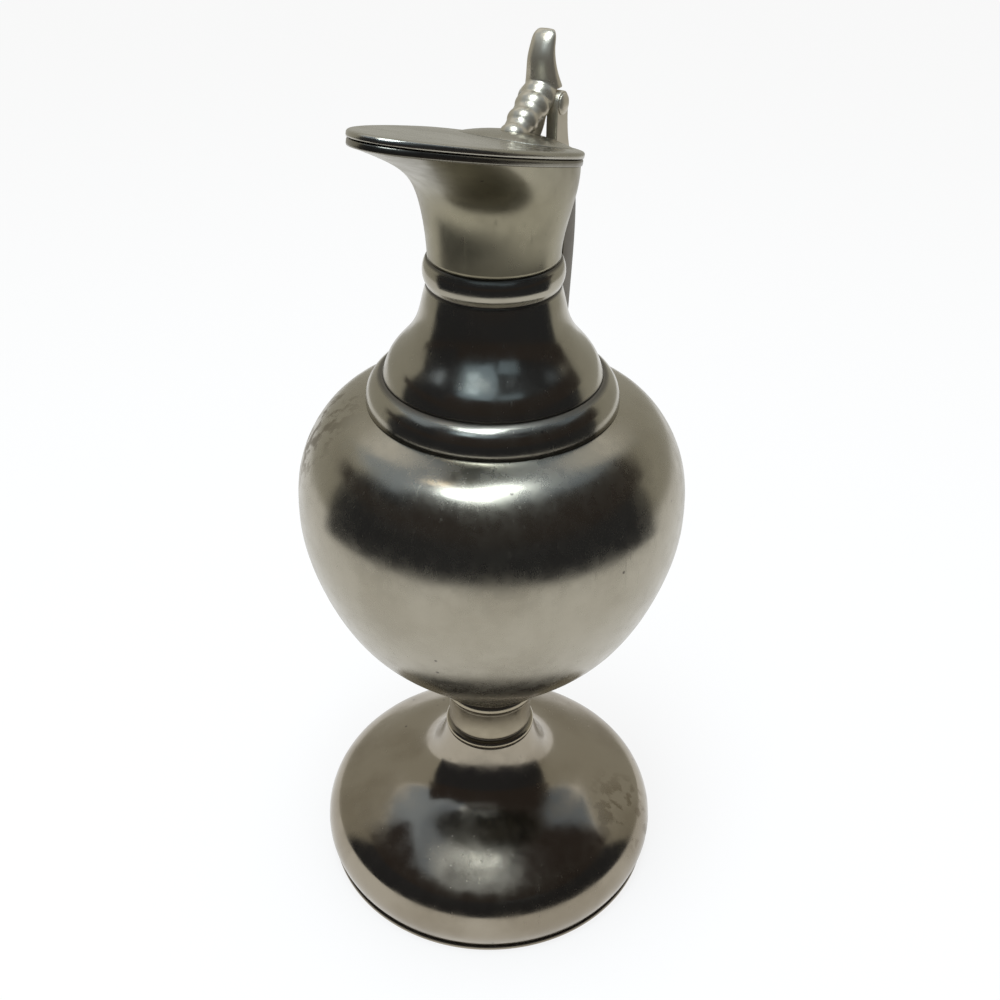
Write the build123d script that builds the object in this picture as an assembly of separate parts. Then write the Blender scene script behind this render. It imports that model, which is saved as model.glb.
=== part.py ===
from build123d import *
import os

# A lidded creamer in turned and cast pewter, in millimetres, +Z up.
# The origin is on the vessel's axis, in the plane that the foot stands on.
# The spout points to -Y and the handle to +Y. The lid's hinge pin lies along X.

# Walls and clearances
WALL = 1.5
LID_GAP = 0.15
SIDE_GAP = 0.2
SWING_GAP = 0.35
LID_OPENS = 75.0

# Foot: a bell on a thin flat rim, which sweeps up to the stem like a trumpet
FOOT_R = 40.0
FOOT_RIM_H = 1.2
BELL_R = 41.0
BELL_WIDEST_Z = 5.5
STEM_Z = 36.2

# Stem: a ring, a groove, a waist, and a collar under the bowl
STEM_RING_R = 10.7
STEM_GROOVE_R = 9.6
STEM_WAIST_R = 9.8
COLLAR_Z = 46.6
COLLAR_R = 10.8
BOWL_Z = 50.0
BORE_R = 5.5

# Bowl: two halves that meet at the widest place
BOWL_R = 41.3
SEAM_Z = 101.5
SHOULDER_R = 25.4
SHOULDER_Z = 126.2

# Neck: a convex band, a cone that curves in, and a bead
BAND_R = 25.9
BAND_TOP_R = 22.7
CONE_Z = 132.2
CONE_R = 22.4
CONE_TOP_R = 13.2
NECK_R = 12.9
BEAD_Z = 151.5
BEAD_R = 13.9
THROAT_Z = 156.9

# Mouth: a plane that climbs towards the spout, round at the rear, half an ellipse at the front
MOUTH_Z = 177.6
MOUTH_SLOPE = 0.27
MOUTH_R = 16.3
SPOUT_REACH = 41.5
SPOUT_FLARE = 5.5
RIM_H = 1.2
RIM_T = 1.6
LID_T = 1.2

# Raised oval panel on the rear of the lid
PANEL_Y = 8.0
PANEL_HALF_X = 11.6
PANEL_HALF_Y = 7.7
PANEL_H = 1.7

# Hinge, behind the mouth
PIN_Y = 19.2
PIN_Z = 181.4
PIN_R = 0.9
PIN_FIT = 0.05
PIN_HEAD_R = 2.1
KNUCKLE_R = 2.4
KNUCKLE_W = 3.6
LUG_T = 2.3
LUG_FOOT_Y = 25.2
LUG_FOOT_Z = 168.0

# Thumbpiece: an arm of soft beads that climbs from the panel to a knee, and a horn on the knee
BEAD_ROW_START = (7.0, 177.9)
BEAD_ROW_END = (14.6, 181.5)
BEAD_ROW_COUNT = 3
BEAD_HALF_X = (2.8, 3.5)
BEAD_HALF_SIDE = (2.3, 2.9)
KNEE = (17.2, 182.8)
KNEE_HALF_X = 3.6
HORN_TOP_Z = 194.6

# Handle strap
STRAP_W = 7.0
STRAP_T = 2.6
STRAP_Y = 30.9
STRAP_FOOT_Y = 29.8

MOUTH = Plane(origin=(0, 0, MOUTH_Z), x_dir=(1, 0, 0), z_dir=(0, MOUTH_SLOPE, 1))
UNDER_RIM = MOUTH.offset(-RIM_H)


def at(r, z):
    """A point of a turned profile, on the +X side of the axis."""
    return Vector(r, 0, z)


def side(y, z):
    """A point of a side view, in the plane of symmetry."""
    return Vector(0, y, z)


def arc(a, b, c):
    return ThreePointArc(a, b, c)


def outline(*items):
    """The face inside points and curves laid end to end, with straight lines between them."""
    edges, first, last = [], None, None
    for item in items:
        start, end = (item, item) if isinstance(item, Vector) else (item @ 0, item @ 1)
        if last is not None and (start - last).length > 1e-6:
            edges.append(Edge.make_line(last, start))
        if not isinstance(item, Vector):
            edges.append(item)
        first = start if first is None else first
        last = end
    if (first - last).length > 1e-6:
        edges.append(Edge.make_line(last, first))
    return Face(Wire(edges))


def turned(*items):
    """A solid turned once round the axis from a closed half profile."""
    return revolve(outline(*items), Axis.Z)


def inner(curve, wall=WALL, steps=10):
    """The curve one wall inside a turned profile that is drawn upwards."""
    points = []
    for i in range(steps + 1):
        p, t = curve.position_at(i / steps), curve.tangent_at(i / steps)
        points.append(at(p.X - wall * t.Z, p.Z + wall * t.X))
    return Spline(*points)


def shell(curve):
    """A turned wall that follows a profile, closed straight across at both ends."""
    back = inner(curve)
    return turned(curve, Spline(*[back @ (1 - i / 10) for i in range(11)]))


# Foot and stem

def foot_rim():
    edge = arc(at(FOOT_R - 0.2, 0), at(FOOT_R + 0.1, FOOT_RIM_H / 2), at(FOOT_R - 0.2, FOOT_RIM_H))
    return turned(at(FOOT_R - 3.5, 0), edge, at(FOOT_R - 3.5, FOOT_RIM_H))


def foot_bell():
    bell = Spline(at(FOOT_R - 0.4, FOOT_RIM_H), at(BELL_R, BELL_WIDEST_Z), at(40.7, 9.8), at(38.6, 13.9),
                  at(33.3, 17.5), at(26.0, 20.8), at(18.2, 23.9), at(14.2, 27.4), at(11.7, 32.4),
                  at(10.5, STEM_Z))
    hollow = Spline(at(FOOT_R - 2.0, FOOT_RIM_H), at(BELL_R - WALL, BELL_WIDEST_Z), at(39.1, 9.2),
                    at(37.3, 12.6), at(32.6, 15.9), at(25.4, 19.0), at(17.0, 22.4), at(12.4, 26.4),
                    at(BORE_R, 30.0))
    outside = turned(bell, at(0, STEM_Z), at(0, FOOT_RIM_H))
    bore = Pos(0, 0, 32) * Cylinder(BORE_R, 14)
    return outside - turned(hollow, at(0, 30.0), at(0, FOOT_RIM_H)) - bore


def stem():
    ring = arc(at(10.5, STEM_Z), at(STEM_RING_R, 37.0), at(10.1, 37.8))
    groove = arc(ring @ 1, at(STEM_GROOVE_R, 38.2), at(9.95, 38.8))
    waist = arc(groove @ 1, at(STEM_WAIST_R, 42.4), at(10.0, COLLAR_Z))
    return turned(at(BORE_R, STEM_Z), ring, groove, waist, at(BORE_R, COLLAR_Z))


def stem_collar():
    bead = arc(at(10.1, COLLAR_Z), at(COLLAR_R, 47.9), at(10.2, 49.3))
    return turned(at(BORE_R, COLLAR_Z), bead, at(10.1, BOWL_Z), at(BORE_R, BOWL_Z))


# Bowl and neck

def bowl_lower():
    curve = Spline(at(10.2, BOWL_Z), at(18.8, 58.0), at(31.7, 72.6), at(38.7, 87.4),
                   at(BOWL_R, SEAM_Z), tangents=(Vector(1, 0, 0.55), Vector(0, 0, 1)))
    hollow = inner(curve)
    outside = turned(curve, at(0, SEAM_Z), at(0, BOWL_Z))
    return outside - turned(hollow, at(0, SEAM_Z + 1), at(0, (hollow @ 0).Z))


def upper_curve():
    return Spline(at(BOWL_R, SEAM_Z), at(40.7, 109.5), at(37.7, 117.4), at(31.9, 123.6),
                  at(SHOULDER_R, SHOULDER_Z), tangents=(Vector(0, 0, 1), Vector(-1, 0, 0.42)))


def bowl_upper():
    return shell(upper_curve())


def shoulder_band():
    face = arc(at(BAND_R, SHOULDER_Z - 0.5), at(25.2, 129.9), at(BAND_TOP_R, CONE_Z))
    bore = CONE_R - WALL
    return turned(at(bore, SHOULDER_Z - 0.5), face, at(bore, CONE_Z)) - bowl_upper()


def neck_cone():
    curve = Spline(at(CONE_R, CONE_Z), at(20.8, 136.0), at(17.5, 140.0), at(15.2, 144.0),
                   at(14.1, 148.0), at(CONE_TOP_R, BEAD_Z))
    return shell(curve) - Pos(0, 0, CONE_Z - 5) * Cylinder(40, 10) - Pos(0, 0, BEAD_Z + 5) * Cylinder(40, 10)


def neck_bead():
    fillet = arc(at(CONE_TOP_R, BEAD_Z), at(13.4, BEAD_Z + 0.5), at(13.7, BEAD_Z + 1.2))
    bead = arc(fillet @ 1, at(BEAD_R, BEAD_Z + 2.8), at(NECK_R + 0.1, THROAT_Z))
    return turned(at(NECK_R - WALL, BEAD_Z), fillet, bead, at(NECK_R - WALL, THROAT_Z))


# Mouth

def egg(r, reach):
    """A flat face, round of radius r towards the handle and half an ellipse towards the spout."""
    rear = CenterArc((0, 0, 0), r, 0, 180)
    front = EllipticalCenterArc((0, 0, 0), r, reach, start_angle=180, arc_size=180)
    return Face(Wire([rear, front]))


def throat_body(thin):
    """The throat's form, from the neck's circle up to the underside of the rim."""
    sections = []
    for f in (0.0, 0.2, 0.4, 0.6, 0.75, 0.87, 0.95, 1.0):
        swell = f * f * (3 - 2 * f)
        r = NECK_R + (MOUTH_R - 0.3 - NECK_R) * swell - thin
        spout = SPOUT_REACH - 0.6 - NECK_R - 4.4 * min(thin, 1)
        reach = NECK_R - thin + spout * f ** SPOUT_FLARE
        rise = UNDER_RIM.origin.Z - THROAT_Z
        plane = Plane(origin=(0, UNDER_RIM.origin.Y * f, THROAT_Z + rise * f), x_dir=(1, 0, 0),
                      z_dir=(0, MOUTH_SLOPE * f, 1))
        sections.append(plane.location * egg(r, reach))
    return loft(sections)


def throat():
    return throat_body(0) - throat_body(WALL - 0.1)


def mouth_rim():
    ring = egg(MOUTH_R, SPOUT_REACH) - egg(MOUTH_R - RIM_T, SPOUT_REACH - 3.4)
    return UNDER_RIM.location * extrude(ring, RIM_H, dir=(0, 0, 1))


# Lid

def lid_plate():
    plate = extrude(egg(MOUTH_R + 0.1, SPOUT_REACH + 0.2), LID_T, dir=(0, 0, 1))
    plate = fillet(plate.edges().group_by(Axis.Z)[-1], 0.45)
    return MOUTH.offset(LID_GAP).location * plate


def lid_panel():
    """A low cap of a sphere, narrowed front to back."""
    ball_r = (PANEL_HALF_X ** 2 + PANEL_H ** 2) / (2 * PANEL_H)
    cap = Pos(0, 0, PANEL_H - ball_r) * Sphere(ball_r)
    cap &= Pos(0, 0, PANEL_H / 2) * Box(30, 30, PANEL_H)
    cap = scale(cap, by=(1, PANEL_HALF_Y / PANEL_HALF_X, 1))
    return MOUTH.offset(LID_GAP + LID_T).location * Pos(0, PANEL_Y, 0) * cap


def lump(y, z, half_x, half_side):
    """A ball stretched or squeezed across the plane of symmetry."""
    return Pos(0, y, z) * scale(Sphere(half_side), by=(half_x / half_side, 1, 1))


def bar(face, width):
    """A side-view face made into a bar of the given width, centred on the plane of symmetry."""
    return extrude(face, width / 2, dir=(1, 0, 0), both=True)


def along_pin(r, length, x=0.0):
    """A cylinder on the hinge's axis, centred at x."""
    return Pos(x, PIN_Y, PIN_Z) * Rot(0, 90, 0) * Cylinder(r, length)


def arm():
    """A tapered core that runs inside the row of beads, up to the knee."""
    ends = []
    for (y, z), half_x, half_side in ((BEAD_ROW_START, 2.5, 1.8), (KNEE, 3.4, 2.6)):
        plane = Plane(origin=(0, y, z), x_dir=(1, 0, 0), z_dir=(0, 0.9, 0.44))
        ends.append((plane.location * Ellipse(half_x, half_side)).faces()[0])
    return loft(ends)


def horn():
    """Ellipses stacked along a centre line that leans forward and then curls back to a blunt tip."""
    stations = ((19.3, 184.2, 3.7, 3.2), (18.5, 186.8, 3.2, 2.4), (18.0, 189.8, 2.8, 1.9),
                (18.5, 192.2, 2.5, 1.5), (19.3, 193.8, 2.2, 1.1), (19.9, HORN_TOP_Z, 1.6, 0.7))
    return loft([(Pos(0, y, z) * Ellipse(rx, ry)).faces()[0] for y, z, rx, ry in stations])


def lug_sweep():
    """The room the two lugs need beside the knuckle while the lid turns."""
    half = KNUCKLE_R + SWING_GAP
    room = along_pin(half, 30)
    for turn in (0, LID_OPENS / 2, LID_OPENS + 3):
        leg = Pos(0, 0, -6) * Box(30, 2 * half, 12)
        room += Pos(0, PIN_Y, PIN_Z) * Rot(turn, 0, 0) * leg
    return room - Box(KNUCKLE_W, 60, 500)


def under_lid():
    """Everything below the lid's upper faces."""
    below = MOUTH.offset(LID_GAP + LID_T).location * Pos(0, 0, -10) * Box(60, 100, 20)
    return below + lid_panel()


def thumbpiece():
    ridge = Spline(side(5.6, 177.6), side(10.4, 179.5), side(16.0, 182.4))
    arch = arc(side(17.6, 178.6), side(16.5, 176.6), side(14.9, 174.8))
    web = bar(outline(ridge, side(19.0, 183.6), side(PIN_Y, PIN_Z), arch, side(6.0, 176.2)), 3.2)
    body = web + arm() + lump(*KNEE, KNEE_HALF_X, 3.2) + horn() + along_pin(KNUCKLE_R, KNUCKLE_W)
    (y0, z0), (y1, z1) = BEAD_ROW_START, BEAD_ROW_END
    for i in range(BEAD_ROW_COUNT):
        f = i / (BEAD_ROW_COUNT - 1)
        half_x, half_side = (a + (b - a) * f for a, b in (BEAD_HALF_X, BEAD_HALF_SIDE))
        body += lump(y0 + (y1 - y0) * f, z0 + (z1 - z0) * f, half_x, half_side)
    return body - along_pin(PIN_R + PIN_FIT, 20) - lug_sweep() - under_lid()


# Handle and hinge

def mouth_clear():
    return throat_body(0) + UNDER_RIM.location * extrude(egg(MOUTH_R, SPOUT_REACH), 6, dir=(0, 0, 1))


def lug(x):
    """A leaf that is round at the pin and spreads backwards onto the handle."""
    rear = arc(side(PIN_Y + KNUCKLE_R, PIN_Z), side(22.3, 174.2), side(LUG_FOOT_Y, LUG_FOOT_Z))
    leaf = outline(side(PIN_Y - KNUCKLE_R, PIN_Z), rear, side(PIN_Y - KNUCKLE_R, LUG_FOOT_Z + 1.5))
    body = Pos(x, 0, 0) * bar(leaf, LUG_T) + along_pin(KNUCKLE_R, LUG_T, x)
    return body - along_pin(PIN_R, 20) - handle_strap() - mouth_clear()


def hinge_pin():
    half = KNUCKLE_W / 2 + SIDE_GAP + LUG_T
    head = Pos(half, PIN_Y, PIN_Z) * scale(Sphere(PIN_HEAD_R), by=(0.35, 1, 1))
    heads = head + mirror(head, Plane.YZ)
    return along_pin(PIN_R, 2 * half) + (heads - along_pin(4, 2 * half))


def outside_bowl():
    return turned(upper_curve(), at(0, SHOULDER_Z), at(0, SEAM_Z))


def handle_strap():
    path = Spline(side(STRAP_FOOT_Y - 0.8, 122.0), side(STRAP_FOOT_Y, 134.0), side(STRAP_Y, 146.0),
                  side(STRAP_Y, 158.0), side(27.8, 166.4), side(21.4, 169.6), side(15.0, 170.2))
    start = Plane(origin=path @ 0, x_dir=(1, 0, 0), z_dir=path % 0)
    strap = sweep(start.location * RectangleRounded(STRAP_W, STRAP_T, 1.1), path)
    return strap - throat_body(0) - outside_bowl() - shoulder_band()


def handle_foot():
    pad = Pos(0, STRAP_FOOT_Y + 0.3, 124.2) * scale(Sphere(4.2), by=(1.15, 0.75, 0.75))
    return pad - handle_strap() - outside_bowl() - shoulder_band()


LUG_X = (KNUCKLE_W + LUG_T) / 2 + SIDE_GAP
PARTS = {
    "foot_rim": foot_rim, "foot_bell": foot_bell, "stem": stem, "stem_collar": stem_collar,
    "bowl_lower": bowl_lower, "bowl_upper": bowl_upper, "shoulder_band": shoulder_band,
    "neck_cone": neck_cone, "neck_bead": neck_bead, "throat": throat, "mouth_rim": mouth_rim,
    "lid_plate": lid_plate, "lid_panel": lid_panel, "thumbpiece": thumbpiece,
    "hinge_pin": hinge_pin, "handle_strap": handle_strap, "handle_foot": handle_foot,
    "hinge_lug_near": lambda: lug(LUG_X), "hinge_lug_far": lambda: lug(-LUG_X),
}

os.makedirs("parts", exist_ok=True)
for name, make in PARTS.items():
    solid = make()
    export_step(solid, f"parts/{name}.step")
    print(name, round(solid.volume, 1))
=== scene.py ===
# %% [markdown]
# # A lidded creamer in satin pewter
#
# The real object is a small footed jug for cream. A spun bell makes the foot, turned rings make the
# stem, two spun halves make the bowl, and a throat of sheet is drawn out into a spout. A flat lid
# turns on a pin behind the mouth and carries a row of cast beads that climbs to a thumb horn.
# Everything is soldered pewter, rubbed to a satin and then handled for years.
#
# The solids come first: they carry the sizes, the bodies and the hinge. This lesson dresses them,
# and each finished piece stays on the body that carries it.

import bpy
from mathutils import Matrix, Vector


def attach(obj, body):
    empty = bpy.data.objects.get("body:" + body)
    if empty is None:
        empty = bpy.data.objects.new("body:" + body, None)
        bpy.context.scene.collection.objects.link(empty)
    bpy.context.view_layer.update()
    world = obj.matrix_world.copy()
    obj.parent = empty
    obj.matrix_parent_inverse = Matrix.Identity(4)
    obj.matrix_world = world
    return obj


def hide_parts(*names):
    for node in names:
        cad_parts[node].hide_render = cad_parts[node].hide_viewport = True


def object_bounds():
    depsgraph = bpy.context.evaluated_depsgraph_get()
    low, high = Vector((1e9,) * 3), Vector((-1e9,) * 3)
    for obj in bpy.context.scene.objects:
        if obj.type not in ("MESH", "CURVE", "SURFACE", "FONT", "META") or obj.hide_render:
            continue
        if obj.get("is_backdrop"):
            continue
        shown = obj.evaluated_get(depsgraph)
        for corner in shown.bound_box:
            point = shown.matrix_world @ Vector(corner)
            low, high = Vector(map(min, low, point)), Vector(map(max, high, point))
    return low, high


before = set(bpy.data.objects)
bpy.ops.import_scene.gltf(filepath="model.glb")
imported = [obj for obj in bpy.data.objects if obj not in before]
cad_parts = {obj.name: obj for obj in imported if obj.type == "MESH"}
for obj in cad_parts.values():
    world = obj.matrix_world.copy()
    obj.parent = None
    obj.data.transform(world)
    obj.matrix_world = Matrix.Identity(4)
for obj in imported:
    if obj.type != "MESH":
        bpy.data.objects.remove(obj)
cad_box = [list(corner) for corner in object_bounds()]

# %% [markdown]
# ## The camera
#
# The photograph was taken from close by, so the foot is seen from high above and the lid almost
# edge-on. Circles that are known to be level, such as the foot's rim, the bowl's shoulder and the
# neck's bead, give the camera: each one is a different ellipse, and only one place fits them all.
# A long lens from further off would be simpler, but it would flatten the foot.

# %% Stand where the camera stood
import math

import bpy
from mathutils import Matrix, Vector

MM = 0.001
SENSOR_MM, FOCAL_PX, FRAME_PX = 36.0, 1200.0, 1000.0
EYE = Vector((103.84, -191.52, 243.74)) * MM
LOOK_DOWN, TURN, LEAN = (math.radians(angle) for angle in (33.30, 28.0, 0.77))

lens = bpy.data.cameras.new("camera")
lens.sensor_width = SENSOR_MM
lens.lens = SENSOR_MM * FOCAL_PX / FRAME_PX
lens.clip_start = 0.01
camera = bpy.data.objects.new("camera", lens)
bpy.context.scene.collection.objects.link(camera)
camera.matrix_world = (Matrix.Translation(EYE) @ Matrix.Rotation(TURN, 4, "Z")
                       @ Matrix.Rotation(math.pi / 2 - LOOK_DOWN, 4, "X")
                       @ Matrix.Rotation(LEAN, 4, "Z"))
bpy.context.scene.camera = camera
bpy.context.scene.view_settings.view_transform = "Standard"
print("lens %.1f mm, %.0f mm from the axis" % (lens.lens, EYE.xy.length / MM))

# %% [markdown]
# ## Wiring nodes
#
# Materials, the sky and the shape trees are all node trees. Written out, each node takes several
# lines. A few small helpers add a node, set its values and link its inputs in one, so a chain reads
# from top to bottom like a recipe.

# %% Helpers that add nodes
def add(tree, kind, inputs=None, **values):
    """A node of a kind, its properties from values and its inputs from numbers or from sockets."""
    node = tree.nodes.new(kind)
    for key, value in values.items():
        setattr(node, key, value)
    for key, value in (inputs or {}).items():
        socket = node.inputs[key]
        if isinstance(value, bpy.types.NodeSocket):
            tree.links.new(value, socket)
        else:
            socket.default_value = value
    return node


def sums(tree, operation, *terms):
    """One math node; a term is a number or a socket."""
    return add(tree, "ShaderNodeMath", dict(enumerate(terms)), operation=operation).outputs[0]


def ramp(tree, value, low, high, to_low=0.0, to_high=1.0):
    """The value carried smoothly from one range to another."""
    node = add(tree, "ShaderNodeMapRange", {"Value": value, "From Min": low, "From Max": high,
                                            "To Min": to_low, "To Max": to_high},
               interpolation_type="SMOOTHSTEP")
    return node.outputs["Result"]


def blend_colour(tree, share, first, second):
    """Two colours mixed; each is a colour or a socket."""
    node = tree.nodes.new("ShaderNodeMix")
    node.data_type, node.blend_type = "RGBA", "MIX"
    for index, value in ((0, share), (6, first), (7, second)):
        if isinstance(value, bpy.types.NodeSocket):
            tree.links.new(value, node.inputs[index])
        else:
            node.inputs[index].default_value = value
    return node.outputs[2]


print("helpers", [helper.__name__ for helper in (add, sums, ramp, blend_colour)])


# %% [markdown]
# ## Floor, room and lamps
#
# Metal shows little of itself and much of the room. Here the room is pale with one dark side, in
# front of the bowl, and that dark side is the band across the bowl and the stripe down the neck. A
# picture of a room could do this, but a studio does it with cards: dark ones in front, just outside
# the picture, bluish ones beside and above, a grey one behind, and two close ones that hide the
# high lamps from the foot. The cards here are curved screens that only reflections can see, so they
# neither show nor cast a shadow. Where the floor comes closer than the cards, the metal mirrors its
# white. The lamps are soft oblongs, one large and high, and each shows in the metal as a highlight.

# %% Pale floor and white sky
FLOOR_HALF, FLOOR_COLOUR, FLOOR_GLOW, SKY_LEVEL = 4.0, (0.85, 0.85, 0.84, 1), 0.80, 0.8
WHITE = (1, 1, 1, 1)


def seen_rays(tree):
    """1 for the rays that show a background: from the camera, off metal and through glass."""
    rays = add(tree, "ShaderNodeLightPath").outputs
    mirrored = sums(tree, "MAXIMUM", rays["Is Glossy Ray"], rays["Is Transmission Ray"])
    return sums(tree, "MAXIMUM", rays["Is Camera Ray"], mirrored)


def plain_material(name):
    """A new material with an empty tree."""
    material = bpy.data.materials.new(name)
    material.use_nodes = True
    material.node_tree.nodes.clear()
    return material, material.node_tree


def floor_material():
    """Pale and matt, and lifted towards white where it is seen, so it still keeps the shadow."""
    material, tree = plain_material("pale_floor")
    matt = add(tree, "ShaderNodeBsdfDiffuse", {"Color": FLOOR_COLOUR})
    glow = add(tree, "ShaderNodeEmission", {"Color": WHITE, "Strength": 1.0})
    both = add(tree, "ShaderNodeMixShader", {0: sums(tree, "MULTIPLY", seen_rays(tree), FLOOR_GLOW),
                                             1: matt.outputs[0], 2: glow.outputs[0]})
    add(tree, "ShaderNodeOutputMaterial", {"Surface": both.outputs[0]})
    return material


def white_sky(level):
    """An even sky: white where it is seen, and a quieter light on everything matt."""
    world = bpy.data.worlds.new("white_sky")
    world.use_nodes = True
    tree = world.node_tree
    tree.nodes.clear()
    strength = sums(tree, "MAXIMUM", seen_rays(tree), level)
    sky = add(tree, "ShaderNodeBackground", {"Color": WHITE, "Strength": strength})
    add(tree, "ShaderNodeOutputWorld", {"Surface": sky.outputs[0]})
    return world


def stage_piece(name, points, faces, material):
    """A piece of the studio, which isn't part of the object."""
    mesh = bpy.data.meshes.new(name)
    mesh.from_pydata(points, [], faces)
    mesh.materials.append(material)
    obj = bpy.data.objects.new(name, mesh)
    bpy.context.scene.collection.objects.link(obj)
    obj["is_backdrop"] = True
    return obj


corners = [(x * FLOOR_HALF, y * FLOOR_HALF, 0) for x, y in ((-1, -1), (1, -1), (1, 1), (-1, 1))]
stage_piece("floor", corners, [(0, 1, 2, 3)], floor_material())
bpy.context.scene.world = white_sky(SKY_LEVEL)
print("floor %.0f m wide" % (2 * FLOOR_HALF))


# %% Cards that only reflections see
def card(name, section, first, last, colour, steps=48):
    """A curved screen: a line of distances and heights, swept between two bearings in degrees."""
    material, tree = plain_material(name)
    glow = add(tree, "ShaderNodeEmission", {"Color": (*colour, 1), "Strength": 1.0})
    add(tree, "ShaderNodeOutputMaterial", {"Surface": glow.outputs[0]})
    points, faces, row = [], [], len(section)
    for i in range(steps + 1):
        bearing = math.radians(first + (last - first) * i / steps)
        points += [(d * math.sin(bearing), -d * math.cos(bearing), h) for d, h in section]
        if i < steps:
            faces += [(i * row + j, i * row + j + 1, (i + 1) * row + j + 1, (i + 1) * row + j)
                      for j in range(row - 1)]
    obj = stage_piece(name, points, faces, material)
    obj.visible_camera = obj.visible_diffuse = obj.visible_shadow = False
    return obj


# Bearings are in degrees from -Y towards +X, and FRONT is the camera's. Sizes are in metres.
FRONT = 28.0
DARK, NEAR_DARK, GREY = (0.038, 0.040, 0.047), (0.050, 0.042, 0.040), (0.50, 0.49, 0.44)
PALE_BLUE, DIM_BLUE, ROOF_BLUE = (0.42, 0.50, 0.62), (0.25, 0.31, 0.40), (0.28, 0.34, 0.44)
FLOOR_GAP, NEAR_Z, MIDDLE_Z, TOP_Z, ROOF_Z = 0.002, 0.165, 0.62, 1.15, 1.16
AWAY, BESIDE, BEHIND = 0.60, 0.61, 0.62
card("low_dark_card", [(0.29, FLOOR_GAP), (0.56, FLOOR_GAP), (AWAY, 0.04), (AWAY, MIDDLE_Z)],
     FRONT - 98, FRONT + 98, DARK)
card("high_dark_card", [(AWAY, MIDDLE_Z), (AWAY, TOP_Z)], FRONT - 70, FRONT + 80, DARK)
card("near_dark_card", [(0.056, NEAR_Z), (0.20, NEAR_Z)], FRONT - 45, FRONT + 100, NEAR_DARK)
card("near_left_card", [(0.105, NEAR_Z), (0.20, NEAR_Z)], FRONT - 100, FRONT - 45, NEAR_DARK)
card("left_card", [(BESIDE, MIDDLE_Z), (BESIDE, TOP_Z)], FRONT - 130, FRONT - 70, PALE_BLUE)
card("right_card", [(BESIDE, MIDDLE_Z), (BESIDE, TOP_Z)], FRONT + 80, FRONT + 130, DIM_BLUE)
card("grey_card", [(BEHIND, FLOOR_GAP), (BEHIND, 0.60)], FRONT + 98, FRONT + 262, GREY)
card("ceiling_card", [(0.001, ROOF_Z), (0.64, ROOF_Z)], 0, 360, ROOF_BLUE)


# %% Lamps
BOWL_MIDDLE = Vector((0, 0, 0.09))


def lamp(name, bearing, height, distance, width, tall, brightness, colour):
    """A soft lamp that faces the bowl, placed in degrees; a brightness of 1 is the sky's."""
    data = bpy.data.lights.new(name, "AREA")
    data.shape, data.size, data.size_y = "RECTANGLE", width, tall
    data.energy, data.color = 4 * width * tall * brightness, colour
    obj = bpy.data.objects.new(name, data)
    bpy.context.scene.collection.objects.link(obj)
    around, up = math.radians(bearing), math.radians(height)
    way = Vector((math.cos(up) * math.sin(around), -math.cos(up) * math.cos(around), math.sin(up)))
    obj.location = BOWL_MIDDLE + distance * way
    obj.rotation_euler = (-way).to_track_quat("-Z", "Y").to_euler()
    return obj


# Bearing and height in degrees, distance, width and height in metres, brightness, colour.
lamp("high_lamp", FRONT - 24, 80, 0.55, 0.19, 0.30, 10.0, (0.76, 0.88, 1.0))
lamp("low_lamp", FRONT - 28, 53, 0.55, 0.10, 0.08, 1.0, (0.66, 0.83, 1.0))
lamp("left_haze", FRONT - 20, 50, 0.60, 0.34, 0.22, 0.45, (0.55, 0.76, 1.0))
lamp("right_haze", FRONT + 22, 42, 0.60, 0.22, 0.16, 0.30, (0.55, 0.76, 1.0))
lamp("small_lamp", FRONT - 58, 68, 0.55, 0.05, 0.08, 1.3, (0.92, 0.97, 1.0))
lamp("warm_lamp", FRONT - 92, 73, 0.55, 0.05, 0.05, 5.0, (1.0, 0.84, 0.64))
print("lamps", [light.name for light in bpy.data.lights])

# %% [markdown]
# ## Drawing the turned profiles
#
# A turner's drawing is half a section: points that matter, joined by fair curves. The curves here
# are cubic, with the bend running on evenly through each point, as a bent batten would lie. Short
# arcs draw the beads and hollows. Every sharp corner is then rubbed round by a fraction of a
# millimetre, because metal corners are never sharp and the soft edge is what catches the light.

# %% Fair curves, arcs and soft corners
import numpy as np


def fair(points, start=None, end=None, steps=10):
    """A cubic curve through the points, with directions at its ends where they are given."""
    p = np.array(points, float)
    h = np.linalg.norm(np.diff(p, axis=0), axis=1)
    count = len(p)
    left, right = np.zeros((count, count)), np.zeros_like(p)
    for i in range(1, count - 1):
        left[i, i - 1:i + 2] = h[i], 2 * (h[i - 1] + h[i]), h[i - 1]
        right[i] = 3 * (h[i] * (p[i] - p[i - 1]) / h[i - 1] + h[i - 1] * (p[i + 1] - p[i]) / h[i])
    for row, near, step, way in ((0, 1, (p[1] - p[0]) / h[0], start),
                                 (-1, -2, (p[-1] - p[-2]) / h[-1], end)):
        left[row, row] = 1 if way else 2
        left[row, near] = 0 if way else 1
        right[row] = np.array(way) / np.linalg.norm(way) if way else 3 * step
    slope = np.linalg.solve(left, right)
    t = np.linspace(0, 1, steps + 1)[1:, None]
    rows = [p[:1]]
    for i in range(count - 1):
        rows.append(p[i] * (1 + 2 * t) * (1 - t) ** 2 + slope[i] * h[i] * t * (1 - t) ** 2
                    + p[i + 1] * t * t * (3 - 2 * t) - slope[i + 1] * h[i] * t * t * (1 - t))
    return np.vstack(rows)


def arc(a, b, c, steps=10):
    """Points on the circle through three points."""
    a, b, c = (complex(*q) for q in (a, b, c))
    w = (c - a) / (b - a)
    middle = (b - a) * (w - abs(w) ** 2) / (2j * w.imag) + a
    turn_b = np.angle((b - middle) / (a - middle))
    turn_c = np.angle((c - middle) / (b - middle))
    turns = np.linspace(0, turn_b + turn_c, steps + 1)
    points = middle + (a - middle) * np.exp(1j * turns)
    return np.c_[points.real, points.imag]


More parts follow.
